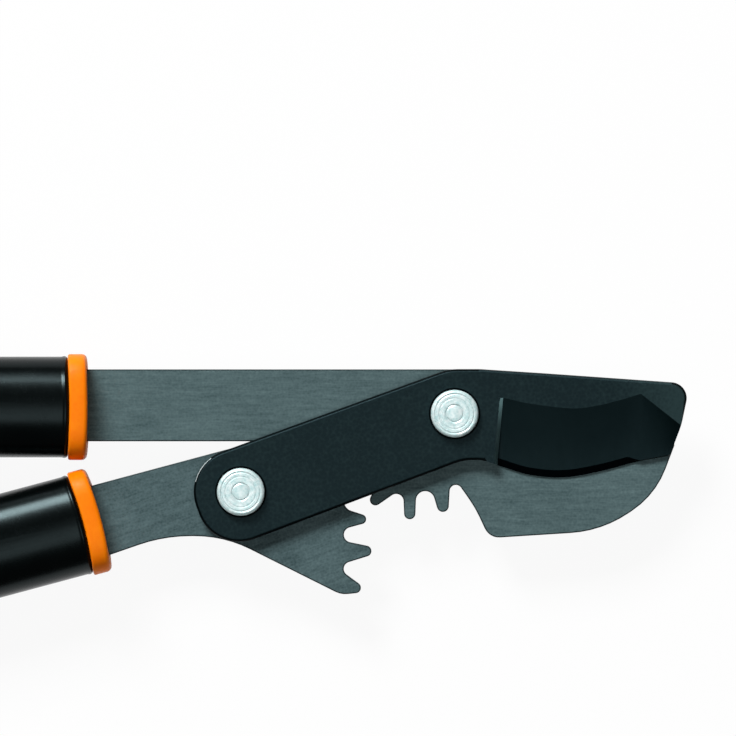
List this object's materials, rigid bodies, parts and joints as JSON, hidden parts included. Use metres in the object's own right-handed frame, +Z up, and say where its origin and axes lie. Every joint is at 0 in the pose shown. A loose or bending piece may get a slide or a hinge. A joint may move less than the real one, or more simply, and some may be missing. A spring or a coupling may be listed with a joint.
{
  "type": "geared bypass lopper",
  "caption": "Long-handled bypass lopper: a cutting blade carries two toothed steel levers that mesh behind it, so both handles open together.",
  "frame": {"origin": "centre of the underside, where the closed tool lies flat on its collars and grips", "axes": "+X along the tool towards the cutting head, +Y towards the upper handle, +Z up out of the front of the head"},
  "size_m": [0.814, 0.211, 0.0318],
  "materials": {
    "black_coated_steel": "black low-friction coating, satin",
    "grey_steel": "grey, finely brushed along the plate",
    "bright_steel": "bright zinc plating",
    "bronze": "sintered bearing bronze",
    "nylon": "natural nylon",
    "black_plastic": "glossy black, glass-filled nylon",
    "black_rubber": "soft black grip rubber",
    "orange_plastic": "satin orange"
  },
  "bodies": {
    "blade": {"cutting_blade": "black_coated_steel", "main_pivot_bolt": "bright_steel", "main_friction_washer": "nylon", "main_rear_washer": "bright_steel", "main_lock_nut": "bright_steel", "lever_pivot_bolt": "bright_steel", "lever_friction_washer": "nylon", "lever_rear_washer": "bright_steel", "lever_lock_nut": "bright_steel"},
    "hook_lever": {"hook_plate": "grey_steel", "main_pivot_bush": "bronze", "upper_handle": "black_plastic", "upper_collar": "orange_plastic", "upper_tang_pin_1": "bright_steel", "upper_tang_pin_2": "bright_steel", "upper_grip": "black_rubber", "upper_grip_ring": "orange_plastic", "upper_end_cap": "black_plastic"},
    "blade_lever": {"lever_plate": "grey_steel", "lever_pivot_bush": "bronze", "lower_handle": "black_plastic", "lower_collar": "orange_plastic", "lower_tang_pin_1": "bright_steel", "lower_tang_pin_2": "bright_steel", "lower_grip": "black_rubber", "lower_grip_ring": "orange_plastic", "lower_end_cap": "black_plastic"}
  },
  "joints": [
    {"name": "main_pivot", "type": "hinge", "parent": "blade", "child": "hook_lever", "pos_m": [0.3256, 0.08453, 0.0159], "axis": [0, 0, 1], "range_deg": [-56, 0]},
    {"name": "lever_pivot", "type": "hinge", "parent": "blade", "child": "blade_lever", "pos_m": [0.25019, 0.05694, 0.0159], "axis": [0, 0, 1], "range_deg": [0, 49.8]}
  ],
  "couplings": [
    {"joint": "lever_pivot", "follows": "main_pivot", "ratio": -0.88889}
  ]
}
